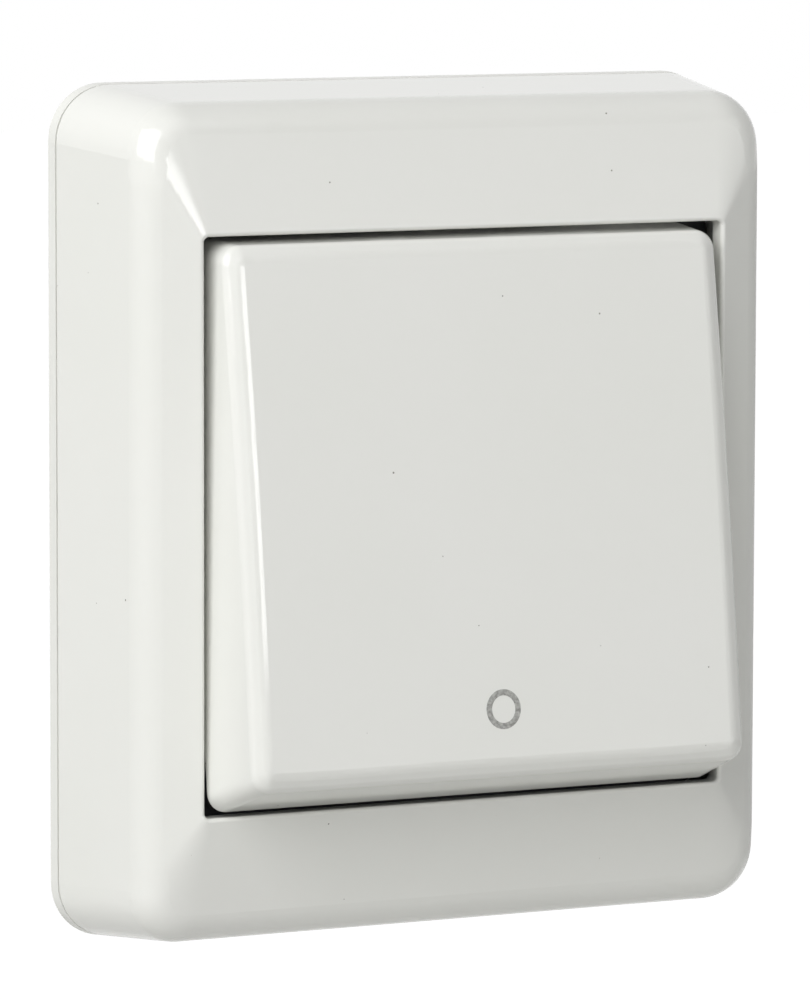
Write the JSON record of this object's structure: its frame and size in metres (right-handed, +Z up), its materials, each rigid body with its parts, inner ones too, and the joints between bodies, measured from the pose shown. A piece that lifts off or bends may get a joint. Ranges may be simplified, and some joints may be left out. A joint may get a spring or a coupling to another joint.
{
  "type": "rocker light switch",
  "caption": "Surface-mounted rocker switch: a white frame with sloping bands round a square key that tips between off and on over a two-pole contact mechanism.",
  "frame": {"origin": "centre of the flat back, on the wall", "axes": "+X to the right seen from the front, +Z up, -Y out of the wall towards the user"},
  "size_m": [0.0734, 0.027, 0.0846],
  "materials": {
    "cover_plastic": "moulded thermoplastic, warm white, high gloss",
    "key_plastic": "moulded thermoplastic, warm white, high gloss",
    "base_plastic": "moulded thermoplastic, warm white, semi-gloss",
    "carrier_plastic": "moulded polyamide, natural grey-white",
    "mechanism_plastic": "moulded polyamide, dark grey, fine matt",
    "plunger_plastic": "moulded acetal, natural",
    "spring_steel": "drawn spring wire",
    "contact_brass": "stamped brass strip, bright",
    "contact_silver": "silver rivet, bright",
    "plated_steel": "steel, zinc plated"
  },
  "bodies": {
    "frame": {"front_cover": "cover_plastic", "base_plate": "base_plastic", "mechanism_housing": "mechanism_plastic", "bearing_plate": "mechanism_plastic", "left_fixed_contact": "contact_brass", "right_fixed_contact": "contact_brass", "left_fixed_tip": "contact_silver", "right_fixed_tip": "contact_silver", "left_common_contact": "contact_brass", "right_common_contact": "contact_brass", "terminal_clamps": "plated_steel", "terminal_screws": "plated_steel", "fixing_screws": "plated_steel", "earth_terminal": "contact_brass", "earth_screws": "plated_steel"},
    "rocker": {"rocker_key": "key_plastic", "rocker_carrier": "carrier_plastic", "left_spring": "spring_steel", "right_spring": "spring_steel"},
    "left_plunger_body": {"left_plunger": "plunger_plastic"},
    "right_plunger_body": {"right_plunger": "plunger_plastic"},
    "left_contact": {"left_blade": "contact_brass", "left_moving_tip": "contact_silver"},
    "right_contact": {"right_blade": "contact_brass", "right_moving_tip": "contact_silver"}
  },
  "joints": [
    {"name": "rocker_tilt", "type": "hinge", "parent": "frame", "child": "rocker", "pos_m": [0, -0.0132, 0], "axis": [1, 0, 0], "range_deg": [0, 15.6]},
    {"name": "left_plunger_slide", "type": "slide", "parent": "rocker", "child": "left_plunger_body", "axis": [0, -0.9907, 0.1357], "range_m": [0, 0.0008], "stiffness_N_per_m": 200, "springref_m": -0.003, "deforming": ["left_spring"]},
    {"name": "right_plunger_slide", "type": "slide", "parent": "rocker", "child": "right_plunger_body", "axis": [0, -0.9907, 0.1357], "range_m": [0, 0.0008], "stiffness_N_per_m": 200, "springref_m": -0.003, "deforming": ["right_spring"]},
    {"name": "left_blade_tilt", "type": "hinge", "parent": "frame", "child": "left_contact", "pos_m": [-0.009, -0.00634, 0], "axis": [1, 0, 0], "range_deg": [-14, 0]},
    {"name": "right_blade_tilt", "type": "hinge", "parent": "frame", "child": "right_contact", "pos_m": [0.009, -0.00634, 0], "axis": [1, 0, 0], "range_deg": [-14, 0]}
  ],
  "couplings": [
    {"joint": "left_blade_tilt", "follows": "rocker_tilt", "ratio": -0.8974},
    {"joint": "right_blade_tilt", "follows": "rocker_tilt", "ratio": -0.8974}
  ]
}
